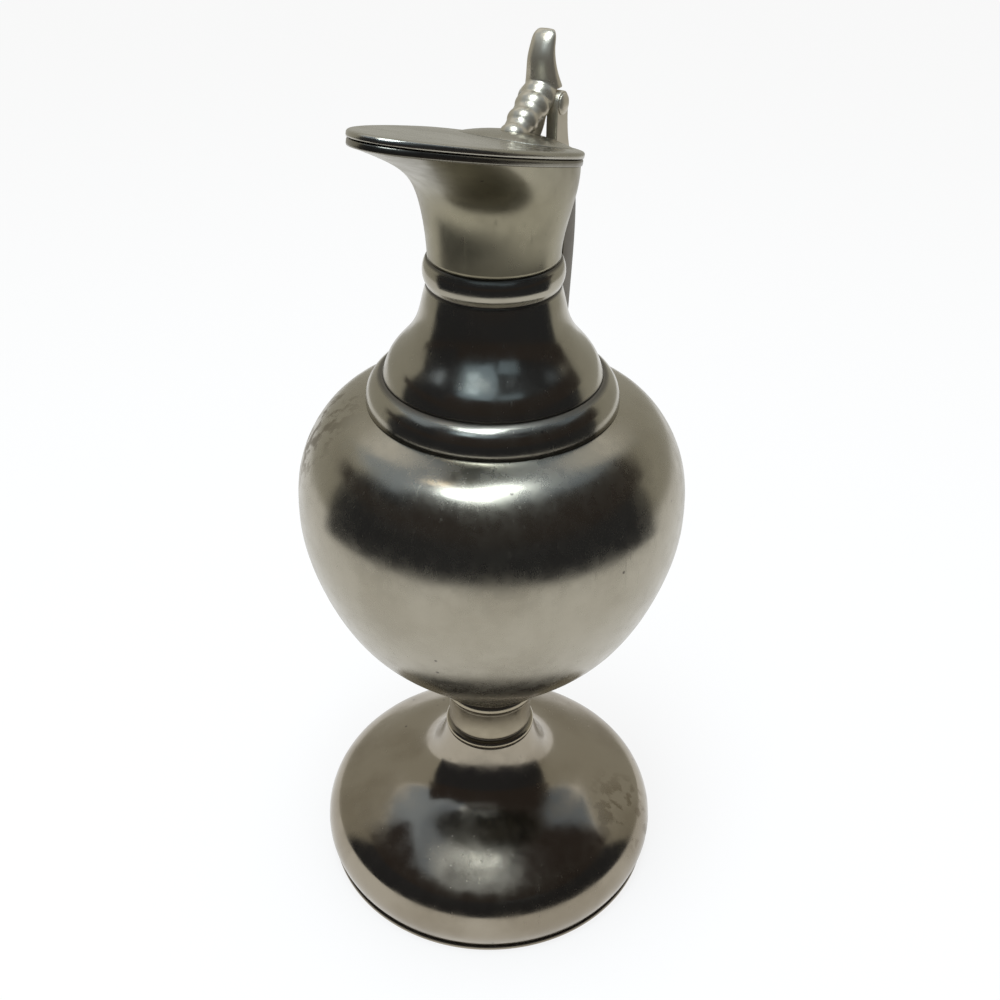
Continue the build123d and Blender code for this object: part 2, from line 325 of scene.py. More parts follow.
def inside(curve, wall=1.5):
    """The curve one wall further in, for a profile that is drawn upwards."""
    way = np.gradient(curve, axis=0)
    way /= np.linalg.norm(way, axis=1)[:, None]
    return curve + wall * np.c_[-way[:, 1], way[:, 0]]


def soften(profile, reach=0.25, sharp=25):
    """The profile with each sharp corner rubbed round over a short reach."""
    p = np.vstack([row for i, row in enumerate(profile)
                   if i == 0 or np.linalg.norm(row - profile[i - 1]) > 1e-4])
    out = [p[0]]
    for i in range(1, len(p) - 1):
        back, ahead = p[i - 1] - p[i], p[i + 1] - p[i]
        lengths = np.linalg.norm(back), np.linalg.norm(ahead)
        cosine = -(back @ ahead) / (lengths[0] * lengths[1])
        if math.degrees(math.acos(np.clip(cosine, -1, 1))) < sharp:
            out.append(p[i])
            continue
        a = p[i] + back * min(reach / lengths[0], 0.49)
        b = p[i] + ahead * min(reach / lengths[1], 0.49)
        out += [a * (1 - t) ** 2 + 2 * p[i] * t * (1 - t) + b * t * t
                for t in (0, 0.25, 0.5, 0.75, 1)]
    return np.vstack(out + [p[-1]])


check = arc((1, 0), (0, 1), (-1, 0))
print("arc radius", np.round(np.linalg.norm(check, axis=1).mean(), 4))

# %% [markdown]
# ## One tree for everything that is turned
#
# The foot, stem, bowl and neck are all one idea: a half section carried once round the axis. Screw
# or Spin would each do that by hand for one piece. A Geometry Nodes tree does it for all of them
# from the same rule: ring number i takes point i of the drawn section, and step j turns it by j
# parts of a full circle. The last step lands on the first, the ends on the axis fall together, and
# Merge by Distance closes both.

# %% Build the lathe tree
def lathe_tree():
    """Geometry Nodes: a drawn half section carried once round the Z axis."""
    tree = bpy.data.node_groups.new("lathe", "GeometryNodeTree")
    tree.is_modifier = True
    face = tree.interface
    face.new_socket("Section", in_out="INPUT", socket_type="NodeSocketObject")
    face.new_socket("Steps Round", in_out="INPUT", socket_type="NodeSocketInt")
    face.new_socket("Weld", in_out="INPUT", socket_type="NodeSocketFloat")
    face.new_socket("Metal", in_out="INPUT", socket_type="NodeSocketMaterial")
    face.new_socket("Geometry", in_out="OUTPUT", socket_type="NodeSocketGeometry")
    given = add(tree, "NodeGroupInput").outputs
    drawn = add(tree, "GeometryNodeObjectInfo", {"Object": given["Section"]}).outputs["Geometry"]
    rings = add(tree, "GeometryNodeAttributeDomainSize", {"Geometry": drawn}, component="MESH")
    steps = add(tree, "FunctionNodeIntegerMath", {0: given["Steps Round"], 1: 1}, operation="ADD")
    net = add(tree, "GeometryNodeMeshGrid", {"Vertices X": rings.outputs["Point Count"],
                                             "Vertices Y": steps.outputs[0]})
    index = add(tree, "GeometryNodeInputIndex").outputs[0]
    ring = sums(tree, "FLOOR", sums(tree, "DIVIDE", sums(tree, "ADD", index, 0.5), steps.outputs[0]))
    step = sums(tree, "SUBTRACT", index, sums(tree, "MULTIPLY", ring, steps.outputs[0]))
    angle = sums(tree, "MULTIPLY", sums(tree, "DIVIDE", step, given["Steps Round"]), 2 * math.pi)
    place = add(tree, "GeometryNodeInputPosition").outputs[0]
    point = add(tree, "GeometryNodeSampleIndex", {"Geometry": drawn, "Index": ring, "Value": place},
                data_type="FLOAT_VECTOR")
    apart = add(tree, "ShaderNodeSeparateXYZ", {0: point.outputs[0]}).outputs
    round_place = add(tree, "ShaderNodeCombineXYZ", {
        "X": sums(tree, "MULTIPLY", apart["X"], sums(tree, "COSINE", angle)),
        "Y": sums(tree, "MULTIPLY", apart["X"], sums(tree, "SINE", angle)), "Z": apart["Z"]})
    shaped = add(tree, "GeometryNodeSetPosition", {"Geometry": net.outputs["Mesh"],
                                                   "Position": round_place.outputs[0]})
    closed = add(tree, "GeometryNodeMergeByDistance", {"Geometry": shaped.outputs[0],
                                                       "Distance": given["Weld"]})
    real = add(tree, "GeometryNodeRealizeInstances", {"Geometry": closed.outputs[0]})
    metal = add(tree, "GeometryNodeSetMaterial", {"Geometry": real.outputs[0],
                                                  "Material": given["Metal"]})
    add(tree, "NodeGroupOutput", {"Geometry": metal.outputs[0]})
    return tree


LATHE = lathe_tree()
print("lathe nodes", len(LATHE.nodes))


# %% Run a tree and keep its mesh
def set_input(modifier, name, value):
    """Sets a tree's input by the identifier of its socket."""
    for item in modifier.node_group.interface.items_tree:
        if item.name == name and item.in_out == "INPUT":
            modifier[item.identifier] = value


def grow(name, tree, **inputs):
    """The plain mesh that a tree makes from its inputs, with the modifier taken away again."""
    carrier = bpy.data.objects.new(name, bpy.data.meshes.new(name))
    bpy.context.scene.collection.objects.link(carrier)
    modifier = carrier.modifiers.new(name, "NODES")
    modifier.node_group = tree
    for key, value in inputs.items():
        set_input(modifier, key.replace("_", " "), value)
    seen = carrier.evaluated_get(bpy.context.evaluated_depsgraph_get())
    mesh = bpy.data.meshes.new_from_object(seen)
    carrier.modifiers.remove(modifier)
    old, carrier.data = carrier.data, mesh
    bpy.data.meshes.remove(old)
    return carrier


def drawing(points):
    """A drawn line, in millimetres, as an object that a tree can read until it is removed."""
    mesh = bpy.data.meshes.new("drawing")
    line = [tuple(c * MM for c in p) for p in points]
    mesh.from_pydata(line, [(i, i + 1) for i in range(len(line) - 1)], [])
    obj = bpy.data.objects.new("drawing", mesh)
    bpy.context.scene.collection.objects.link(obj)
    return obj


# %% Finish a mesh: faces out, smooth, on its body
import bmesh


def finish(obj, material, nodes, body="vessel", weld=1e-7):
    """Faces outwards, smooth shading, a material, and its place in the assembly."""
    shape = bmesh.new()
    shape.from_mesh(obj.data)
    bmesh.ops.remove_doubles(shape, verts=shape.verts, dist=weld)
    bmesh.ops.recalc_face_normals(shape, faces=shape.faces)
    if shape.calc_volume(signed=True) < 0:
        bmesh.ops.reverse_faces(shape, faces=shape.faces)
    for side in shape.faces:
        side.smooth = True
    shape.to_mesh(obj.data)
    volume = shape.calc_volume() / MM ** 3
    shape.free()
    obj.data.materials.clear()
    obj.data.materials.append(material)
    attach(obj, body)
    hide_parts(*nodes)
    print("%-16s %6d faces %8.0f mm3" % (obj.name, len(obj.data.polygons), volume))
    return obj


def turned(name, profile, material, nodes, steps=180):
    """A turned piece from its half section of radius and height, in millimetres."""
    section = soften(np.vstack(profile))
    line = drawing([(r, 0, z) for r, z in section])
    obj = grow(name, LATHE, Section=line, Steps_Round=steps, Weld=1e-6, Metal=material)
    bpy.data.objects.remove(line)
    return finish(obj, material, nodes)


# %% [markdown]
# ## Pewter
#
# Pewter is a tin alloy with a warm grey colour. Rubbed satin, it mirrors the room as through
# breath: edges of reflections are soft, but they are still reflections. Making and age add five
# things. A lathe leaves fine rings, cloths leave scratches that run every way, hands leave dull
# clouds, damp leaves a few dark pits, and the narrow creases between pieces keep a dark line that
# no cloth reaches. One more dull patch, low on the foot's right side, is painted shade. All are
# worked out from the place on the object, so they stay where they are when the lid opens. A painted
# picture could show them too, but it would need the skin unwrapped.

# %% The pewter recipe
# Scales are lumps or lines for each millimetre; heights and depths are shares of the bump.
WAVES, SLOW_CLOUDS, FINE_CLOUDS, LATHE_LINES, PIT_CELLS = 0.10, 0.045, 0.30, 2.2, 0.16
SCRATCHES = ((1.1, (0.9, 0.4, 0.2), 0.665), (0.9, (1.9, 1.2, 0.8), 0.675),
             (1.4, (0.3, 2.3, 2.0), 0.685))
# Shares for the duller colour: tarnish clouds, and on the foot painted shade.
DULL_TONE, PIT_COLOUR, GRIME_COLOUR = (0.62, 0.58, 0.52), (0.05, 0.04, 0.035, 1), (0.07, 0.06, 0.05, 1)
DULL_ROUGH, CLOUD_ROUGH, SCRATCH_ROUGH, GRIME_ROUGH = 0.16, 0.035, 0.09, 0.25
WAVE_HEIGHT, RING_HEIGHT, SCRATCH_DEPTH, PIT_DEPTH = 1.6, 0.035, 0.004, 0.02
BUMP_STRENGTH, BUMP_MM = 0.35, 0.12


def pewter(name, colour, gloss, rings=0.5, tarnish=0.35, creases=(), dull_patch=None, metal=1.0):
    """Satin pewter; gloss is its roughness, creases are heights, and the dull patch is a place and a
    size.
    """
    material, tree = plain_material(name)
    here = add(tree, "ShaderNodeTexCoord").outputs["Object"]
    scaled = add(tree, "ShaderNodeVectorMath", {0: here, "Scale": 1 / MM}, operation="SCALE")
    place = scaled.outputs[0]
    x, y, z = add(tree, "ShaderNodeSeparateXYZ", {0: place}).outputs
    squares = sums(tree, "MULTIPLY", x, x), sums(tree, "MULTIPLY", y, y)
    radius = sums(tree, "SQRT", sums(tree, "ADD", *squares))

    def cloud(scale, detail=4.0, where=place):
        """Soft noise; scale is how many of its lumps fit in a millimetre."""
        return add(tree, "ShaderNodeTexNoise", {"Vector": where, "Scale": scale, "Detail": detail,
                                                "Roughness": 0.55}).outputs["Fac"]

    def hairlines(scale, turn, keep):
        """Long thin marks along one direction."""
        along = add(tree, "ShaderNodeMapping", {"Vector": place, "Rotation": turn,
                                                "Scale": (scale, scale * 0.9, scale * 0.03)})
        return ramp(tree, cloud(1.0, 2.0, along.outputs[0]), keep, keep + 0.10)

    slow, fine = cloud(SLOW_CLOUDS), cloud(FINE_CLOUDS)
    lathe = add(tree, "ShaderNodeCombineXYZ", {"X": sums(tree, "MULTIPLY", radius, LATHE_LINES),
                                               "Z": sums(tree, "MULTIPLY", z, LATHE_LINES)})
    turning = cloud(1.0, 3.0, lathe.outputs[0])
    first, second, third = (hairlines(*scratch) for scratch in SCRATCHES)
    marks = sums(tree, "MAXIMUM", first, sums(tree, "MAXIMUM", second, third))
    spots = add(tree, "ShaderNodeTexVoronoi", {"Vector": place, "Scale": PIT_CELLS})
    pits = sums(tree, "MULTIPLY", ramp(tree, spots.outputs["Distance"], 0.075, 0.03),
                ramp(tree, fine, 0.50, 0.60))

    worn = sums(tree, "MULTIPLY", ramp(tree, slow, 0.40, 0.68), tarnish)
    dull = worn
    # A darker, duller patch round a place; on the foot it is painted shade.
    if dull_patch:
        *spot, reach = dull_patch
        away = add(tree, "ShaderNodeVectorMath", {0: place, 1: spot}, operation="DISTANCE")
        near = ramp(tree, away.outputs["Value"], reach, reach * 0.3)
        patch_mask = sums(tree, "MULTIPLY", near, ramp(tree, fine, 0.46, 0.58))
        dull = sums(tree, "MAXIMUM", worn, patch_mask)
    grime = 0.0
    for height in creases:
        far = sums(tree, "ABSOLUTE", sums(tree, "SUBTRACT", z, height))
        grime = sums(tree, "MAXIMUM", ramp(tree, far, 0.75, 0.05), grime)

    dull_tone = tuple(c * f for c, f in zip(colour, DULL_TONE))
    base = blend_colour(tree, dull, (*colour, 1), (*dull_tone, 1))
    base = blend_colour(tree, sums(tree, "MULTIPLY", pits, 0.8), base, PIT_COLOUR)
    if creases:
        base = blend_colour(tree, sums(tree, "MULTIPLY", grime, 0.75), base, GRIME_COLOUR)
    rough = sums(tree, "ADD", gloss, sums(tree, "MULTIPLY", dull, DULL_ROUGH))
    rough = sums(tree, "ADD", rough, ramp(tree, fine, 0.3, 0.7, -CLOUD_ROUGH, CLOUD_ROUGH))
    rough = sums(tree, "ADD", rough, sums(tree, "MULTIPLY", marks, SCRATCH_ROUGH))
    if creases:
        rough = sums(tree, "ADD", rough, sums(tree, "MULTIPLY", grime, GRIME_ROUGH))

    relief = sums(tree, "MULTIPLY", cloud(WAVES, 1.0), WAVE_HEIGHT)
    relief = sums(tree, "ADD", relief, sums(tree, "MULTIPLY", turning, RING_HEIGHT * rings))
    relief = sums(tree, "SUBTRACT", relief, sums(tree, "MULTIPLY", marks, SCRATCH_DEPTH))
    relief = sums(tree, "SUBTRACT", relief, sums(tree, "MULTIPLY", pits, PIT_DEPTH))
    bump = add(tree, "ShaderNodeBump", {"Height": relief, "Strength": BUMP_STRENGTH,
                                        "Distance": BUMP_MM * MM})
    surface = add(tree, "ShaderNodeBsdfPrincipled", {"Base Color": base, "Roughness": rough,
                                                     "Metallic": metal, "Normal": bump.outputs[0]})
    add(tree, "ShaderNodeOutputMaterial", {"Surface": surface.outputs[0]})
    return material


# %% Nine finishes of the same pewter
# Heights in millimetres at which the turned pieces meet, which is where the creases are.
RING_TOP, BELL_TOP, GROOVE, STEM_TOP, BOWL_FOOT, SEAM = 1.2, 36.2, 38.2, 46.6, 50.0, 101.5
CONE_FOOT, CONE_TOP, NECK_TOP = 132.2, 151.5, 156.9

BODY = pewter("pewter_body", (0.37, 0.34, 0.27), 0.24, tarnish=0.30, dull_patch=(-30, -18, 119, 16))
NECK = pewter("pewter_neck", (0.36, 0.335, 0.27), 0.18, tarnish=0.30,
              creases=(126.0, CONE_FOOT, 151.4, NECK_TOP))
THROAT = pewter("pewter_throat", (0.28, 0.255, 0.18), 0.30, tarnish=0.40)
STEM = pewter("pewter_stem", (0.37, 0.325, 0.24), 0.18, tarnish=0.40,
              creases=(BELL_TOP, GROOVE, STEM_TOP, 49.9))
# The foot's darker, duller patch, low on its right side, is painted shade.
FOOT = pewter("pewter_foot", (0.34, 0.30, 0.235), 0.15, tarnish=0.50, creases=(1.3,),
              dull_patch=(33, 6, 10, 16))
CAST = pewter("pewter_cast", (0.46, 0.415, 0.325), 0.30, rings=0.0, tarnish=0.40, metal=0.8)
LID = pewter("pewter_lid", (0.38, 0.36, 0.30), 0.24, rings=0.0, tarnish=0.35)
RIM = pewter("pewter_rim", (0.22, 0.205, 0.165), 0.26, rings=0.0, tarnish=0.50)
HANDLE = pewter("pewter_handle", (0.095, 0.083, 0.062), 0.26, rings=0.0, tarnish=0.60)
print("pewter finishes", len([m for m in bpy.data.materials if m.name.startswith("pewter")]))

# %% [markdown]
# ## The foot and the stem
#
# The foot is a bell spun from sheet, which sweeps up to the stem like a trumpet, with a flat ring
# soldered under its edge. The stem above it is a turned ring, a groove and a waist, and a collar
# carries the bowl. The heights and radii repeat the solids' own drawing.

# %% Foot and stem
RING_BORE, STEM_BORE = 36.5, 5.5

bell = fair([(39.6, RING_TOP), (41.0, 5.5), (40.7, 9.8), (38.6, 13.9), (33.3, 17.5), (26.0, 20.8),
             (18.2, 23.9), (14.2, 27.4), (11.7, 32.4), (10.5, BELL_TOP)])
bell_back = fair([(38.0, RING_TOP), (39.5, 5.5), (39.1, 9.2), (37.3, 12.6), (32.6, 15.9),
                  (25.4, 19.0), (17.0, 22.4), (12.4, 26.4), (STEM_BORE, 30.0)])
turned("foot_ring", [[(RING_BORE, 0), (39.8, 0)], arc((39.8, 0), (40.1, 0.6), (39.8, RING_TOP)),
                     [(RING_BORE, RING_TOP), (RING_BORE, 0)]], FOOT, ["foot_rim"])
turned("foot_bell_skin", [bell, [(STEM_BORE, BELL_TOP)], bell_back[::-1], [bell[0]]],
       FOOT, ["foot_bell"])
turned("stem_turning", [arc((10.5, BELL_TOP), (10.7, 37.0), (10.1, 37.8)),
                        arc((10.1, 37.8), (9.6, GROOVE), (9.95, 38.8), 6),
                        arc((9.95, 38.8), (9.8, 42.4), (10.0, STEM_TOP)),
                        [(STEM_BORE, STEM_TOP), (STEM_BORE, BELL_TOP), (10.5, BELL_TOP)]],
       STEM, ["stem"], 120)
turned("bowl_collar", [arc((10.1, STEM_TOP), (10.8, 47.9), (10.2, 49.3)),
                       [(10.1, BOWL_FOOT), (STEM_BORE, BOWL_FOOT), (STEM_BORE, STEM_TOP),
                        (10.1, STEM_TOP)]],
       STEM, ["stem_collar"], 120)

# %% [markdown]
# ## The bowl
#
# Two spun halves meet at the widest place. The seam was soldered and rubbed away, so the outside is
# one fair curve. It is drawn as one section, out, round the rim, and back down the inside, so that
# the wall is real and the open jug can be looked into.

# %% Bowl
WIDEST = 41.27
lower = fair([(10.2, BOWL_FOOT), (18.8, 58.0), (31.7, 72.6), (38.7, 87.4), (WIDEST, SEAM)],
             start=(1, 0.55), end=(0, 1))
upper = fair([(WIDEST, SEAM), (40.7, 109.5), (37.7, 117.4), (31.9, 123.6), (25.4, 126.2)],
             start=(0, 1), end=(-1, 0.42))
lower_back, upper_back = inside(lower), inside(upper)
turned("bowl", [[(0, BOWL_FOOT)], lower, upper, upper_back[::-1], lower_back[::-1],
                [(0, lower_back[0, 1])]],
       BODY, ["bowl_lower", "bowl_upper"], 240)

# %% [markdown]
# ## Shoulder band, neck and bead
#
# A convex band hides the joint between bowl and neck. The neck is a cone that curves in, and a
# bead with a small fillet under it hides the joint between neck and throat.

# %% Band, cone and bead
BAND_FOOT, BAND_BORE, BEAD_BORE = 125.7, 20.9, 11.4

turned("shoulder_band_skin", [[(BAND_BORE, BAND_FOOT)],
                              arc((25.9, BAND_FOOT), (25.2, 129.9), (22.7, CONE_FOOT)),
                              [(BAND_BORE, CONE_FOOT), (BAND_BORE, BAND_FOOT)]],
       NECK, ["shoulder_band"], 200)
cone = fair([(22.4, CONE_FOOT), (20.8, 136.0), (17.5, 140.0), (15.2, 144.0), (14.1, 148.0),
             (13.2, CONE_TOP)])
cone_back = inside(cone)
cone_back[:, 1] = np.clip(cone_back[:, 1], CONE_FOOT, CONE_TOP)
turned("neck_cone_skin", [cone, cone_back[::-1], [cone[0]]], NECK, ["neck_cone"], 200)
turned("neck_bead_skin", [arc((13.2, CONE_TOP), (13.4, 152.0), (13.7, 152.7), 5),
                          arc((13.7, 152.7), (13.9, 154.3), (13.0, NECK_TOP)),
                          [(BEAD_BORE, NECK_TOP), (BEAD_BORE, CONE_TOP), (13.2, CONE_TOP)]],
       NECK, ["neck_bead"], 160)

# %% [markdown]
# ## Throat, rim and lid
#
# The throat starts as the neck's circle and ends as the mouth: round at the back, half a long
# ellipse at the front, on a plane that climbs towards the spout. A loft in sculpting tools would
# lose the rule, so the rings are worked out one by one. Ring f, from 0 at the neck to 1 at the rim,
# swells slowly at the back and reaches out late and fast at the front, as sheet drawn over a stake
# does.

# %% Rings on a tilted plane
# The undercuts keep the throat's top edge inside the rim. All sizes are in millimetres.
MOUTH_Z, SLOPE, MOUTH_R, REACH, RIM_H = 177.6, 0.27, 16.3, 41.5, 1.2
NECK_R, FLARE, THROAT_WALL, SPOUT_WALL = 12.9, 5.5, 1.4, 4.4
UNDERCUT, SPOUT_UNDERCUT = 0.3, 0.6
RING_POINTS = 160
NORMAL = np.array((0, SLOPE, 1)) / math.hypot(SLOPE, 1)
UNDER_RIM = np.array((0, 0, MOUTH_Z)) - RIM_H * NORMAL


def egg(r, reach, origin, slope):
    """A ring round of radius r at the back and half an ellipse at the front, on a tilted plane."""
    a = np.linspace(0, 2 * math.pi, RING_POINTS, endpoint=False)
    x, y = r * np.cos(a), np.where(np.sin(a) > 0, r, reach) * np.sin(a)
    tilt = math.hypot(1, slope)
    return np.c_[x, origin[1] + y / tilt, origin[2] - y * slope / tilt]


def on_mouth(r, reach, height):
    """A ring parallel to the mouth, at a height above it."""
    return egg(r, reach, np.array((0, 0, MOUTH_Z)) + height * NORMAL, SLOPE)


def throat_ring(f, thin=0.0):
    """One ring of the throat's outside, or of its inside where thin is the wall."""
    swell = f * f * (3 - 2 * f)
    r = NECK_R + (MOUTH_R - UNDERCUT - NECK_R) * swell - thin
    reach_left = REACH - SPOUT_UNDERCUT - NECK_R - SPOUT_WALL * min(thin, 1)
    reach = NECK_R - thin + reach_left * f ** FLARE
    origin = (0, UNDER_RIM[1] * f, NECK_TOP + (UNDER_RIM[2] - NECK_TOP) * f)
    return egg(r, reach, origin, SLOPE * f)


def skin(name, rings, closed=False):
    """A mesh over rings of equal count, in millimetres; an open stack gets a point at each end."""
    count = len(rings[0])
    points = np.vstack(rings)
    faces = []
    for i in range(len(rings) if closed else len(rings) - 1):
        a, b = i * count, (i + 1) % len(rings) * count
        faces += [(a + j, a + (j + 1) % count, b + (j + 1) % count, b + j) for j in range(count)]
    if not closed:
        points = np.vstack([points, rings[0].mean(0), rings[-1].mean(0)])
        last = (len(rings) - 1) * count
        faces += [(j, (j + 1) % count, len(points) - 2) for j in range(count)]
        faces += [(last + j, last + (j + 1) % count, len(points) - 1) for j in range(count)]
    mesh = bpy.data.meshes.new(name)
    mesh.from_pydata((points * MM).tolist(), [], faces)
    obj = bpy.data.objects.new(name, mesh)
    bpy.context.scene.collection.objects.link(obj)
    return obj


# %% Throat and rim
RIM_WALL, RIM_SPOUT_WALL = 1.6, 3.4

climb = 1 - (1 - np.linspace(0, 1, 41)) ** 1.5
wall = [throat_ring(f) for f in climb] + [throat_ring(f, THROAT_WALL) for f in climb[::-1]]
finish(skin("throat_skin", wall, closed=True), THROAT, ["throat"])
rounding = [(0.30, 0.0), (0.08, 0.08), (0.0, 0.30), (0.0, 0.60), (0.0, 0.90), (0.08, 1.12),
            (0.30, RIM_H)]
rim = [on_mouth(MOUTH_R - a, REACH - a, h - RIM_H) for a, h in rounding]
rim += [on_mouth(MOUTH_R - RIM_WALL + a, REACH - RIM_SPOUT_WALL + a, h - RIM_H)
        for a, h in rounding[::-1]]
finish(skin("mouth_rim_skin", rim, closed=True), RIM, ["mouth_rim"])

# %% Lid plate and panel
LID_R, LID_REACH, LID_GAP, LID_TOP = 16.4, 41.7, 0.15, 1.35
PANEL_Y, PANEL_X_HALF, PANEL_Y_HALF, PANEL_H = 8.0, 11.6, 7.7, 1.7

edge = [(12, 0), (4, 0), (1.5, 0), (0.25, 0), (0.06, 0.07), (0.0, 0.3), (0.0, 0.72), (0.1, 0.98),
        (0.28, 1.12), (0.6, 1.2), (1.5, 1.2), (4, 1.2), (8, 1.2), (12, 1.2)]
plate = [on_mouth(LID_R - a, LID_REACH - a * 1.6, LID_GAP + h) for a, h in edge]
finish(skin("lid_plate_skin", plate), LID, ["lid_plate"], "lid")

dome_r = (PANEL_X_HALF ** 2 + PANEL_H ** 2) / (2 * PANEL_H)
along = np.array((0, 1, -SLOPE)) / math.hypot(SLOPE, 1)
circle = np.linspace(0, 2 * math.pi, RING_POINTS, endpoint=False)[:, None]
panel = []
for share in (0.93, 1.0, 0.985, 0.96, 0.92, 0.85, 0.75, 0.62, 0.48, 0.32, 0.16, 0.05):
    r = PANEL_X_HALF * share
    up = math.sqrt(dome_r ** 2 - r ** 2) - dome_r + PANEL_H if panel else 0.0
    middle = np.array((0, 0, MOUTH_Z)) + (LID_TOP + up) * NORMAL + PANEL_Y * along
    panel.append(middle + r * np.cos(circle) * np.array((1, 0, 0))
                 + r * PANEL_Y_HALF / PANEL_X_HALF * np.sin(circle) * along)
finish(skin("lid_panel_skin", panel), LID, ["lid_panel"], "lid")

# %% [markdown]
# ## The thumbpiece
#
# One casting carries the thumb: a row of beads that grows as it climbs from the panel, a round knee
# over the hinge, and a horn that curls back. The beads repeat, so a tree sets balls along a drawn
# line and lets them grow from the first to the last. The casting is then run together: all its lumps
# are joined, remeshed as one skin and smoothed, which leaves the soft hollows between beads that
# casting and polishing leave.

# %% A tree that strings beads on a line
def bead_tree():
    """Geometry Nodes: balls along a line, growing from the first to the last."""
    tree = bpy.data.node_groups.new("bead_row", "GeometryNodeTree")
    tree.is_modifier = True
    face = tree.interface
    face.new_socket("Line", in_out="INPUT", socket_type="NodeSocketObject")
    face.new_socket("Beads", in_out="INPUT", socket_type="NodeSocketInt")
    face.new_socket("First Radius", in_out="INPUT", socket_type="NodeSocketFloat")
    face.new_socket("Last Radius", in_out="INPUT", socket_type="NodeSocketFloat")
    face.new_socket("Spread", in_out="INPUT", socket_type="NodeSocketFloat")
    face.new_socket("Metal", in_out="INPUT", socket_type="NodeSocketMaterial")
    face.new_socket("Geometry", in_out="OUTPUT", socket_type="NodeSocketGeometry")
    given = add(tree, "NodeGroupInput").outputs
    drawn = add(tree, "GeometryNodeObjectInfo", {"Object": given["Line"]}).outputs["Geometry"]
    line = add(tree, "GeometryNodeMeshToCurve", {"Mesh": drawn}).outputs[0]
    spaced = add(tree, "GeometryNodeResampleCurve", {"Curve": line, "Count": given["Beads"]})
    share = sums(tree, "DIVIDE", add(tree, "GeometryNodeInputIndex").outputs[0],
                 sums(tree, "SUBTRACT", given["Beads"], 1))
    growth = sums(tree, "SUBTRACT", given["Last Radius"], given["First Radius"])
    radius = sums(tree, "ADD", given["First Radius"], sums(tree, "MULTIPLY", share, growth))
    across = sums(tree, "MULTIPLY", radius, given["Spread"])
    size = add(tree, "ShaderNodeCombineXYZ", {"X": across, "Y": radius, "Z": radius}).outputs[0]
    ball = add(tree, "GeometryNodeMeshUVSphere", {"Segments": 32, "Rings": 20, "Radius": 1.0})
    beads = add(tree, "GeometryNodeInstanceOnPoints", {
        "Points": spaced.outputs[0], "Instance": ball.outputs["Mesh"], "Scale": size})
    real = add(tree, "GeometryNodeRealizeInstances", {"Geometry": beads.outputs[0]})
    metal = add(tree, "GeometryNodeSetMaterial", {"Geometry": real.outputs[0],
                                                  "Material": given["Metal"]})
    add(tree, "NodeGroupOutput", {"Geometry": metal.outputs[0]})
    return tree


bead_line = drawing([(0, 7.0, 177.9), (0, 14.6, 181.5)])
beads = grow("beads", bead_tree(), Line=bead_line, Beads=3, First_Radius=2.3 * MM,
             Last_Radius=2.9 * MM, Spread=1.21, Metal=CAST)
bpy.data.objects.remove(bead_line)
print("bead row", len(beads.data.polygons), "faces")


# %% Lumps for the casting
ROUND = np.linspace(0, 2 * math.pi, 48, endpoint=False)


def rings_along(stations):
    """Level ellipses from stations of y, z, half width and half depth, in millimetres."""
    return [np.c_[rx * np.cos(ROUND), y + ry * np.sin(ROUND), np.full(len(ROUND), z)]
            for y, z, rx, ry in stations]


def ball_at(name, y, z, half_x, half_side):
    """A ball on the plane of symmetry, wider or narrower across it."""
    lift = np.linspace(-math.pi / 2, math.pi / 2, 25)[1:-1]
    return skin(name, rings_along([(y, z + half_side * math.sin(t), half_x * math.cos(t),
                                    half_side * math.cos(t)) for t in lift]))


def plate_across(name, outline, half):
    """A side view, as points of y and z, made into a flat bar across the plane of symmetry."""
    side = np.array(outline, float)
    return skin(name, [np.c_[np.full(len(side), x), side] for x in (-half, half)])


def arm_between(name, first, last):
    """A tapered bar of elliptical section between two places of y, z, half width and half depth."""
    (y0, z0, *_), (y1, z1, *_) = first, last
    way = np.array((y1 - y0, z1 - z0)) / math.hypot(y1 - y0, z1 - z0)
    return skin(name, [np.c_[rx * np.cos(ROUND), y - way[1] * ry * np.sin(ROUND),
                             z + way[0] * ry * np.sin(ROUND)] for y, z, rx, ry in (first, last)])


def run_together(name, parts, grain, smoothing):
    """Joins closed lumps into one cast skin; grain is the remesh size in millimetres."""
    joined = bmesh.new()
    for part in parts:
        joined.from_mesh(part.data)
        bpy.data.objects.remove(part)
    mesh = bpy.data.meshes.new(name)
    joined.to_mesh(mesh)
    joined.free()
    obj = bpy.data.objects.new(name, mesh)
    bpy.context.scene.collection.objects.link(obj)
    remesh = obj.modifiers.new("cast", "REMESH")
    remesh.mode, remesh.voxel_size = "VOXEL", grain * MM
    soft = obj.modifiers.new("rub", "SMOOTH")
    soft.factor, soft.iterations = 0.5, smoothing
    seen = obj.evaluated_get(bpy.context.evaluated_depsgraph_get())
    obj.data = bpy.data.meshes.new_from_object(seen)
    obj.modifiers.clear()
    return obj


print("round a lump", len(ROUND), "points")

# %% Knee, horn, web and knuckle, run together
PIN_Y, PIN_Z, KNUCKLE_R, KNUCKLE_HALF, WEB_HALF = 19.2, 181.4, 2.4, 1.8, 1.6
KNEE = (17.2, 182.8)

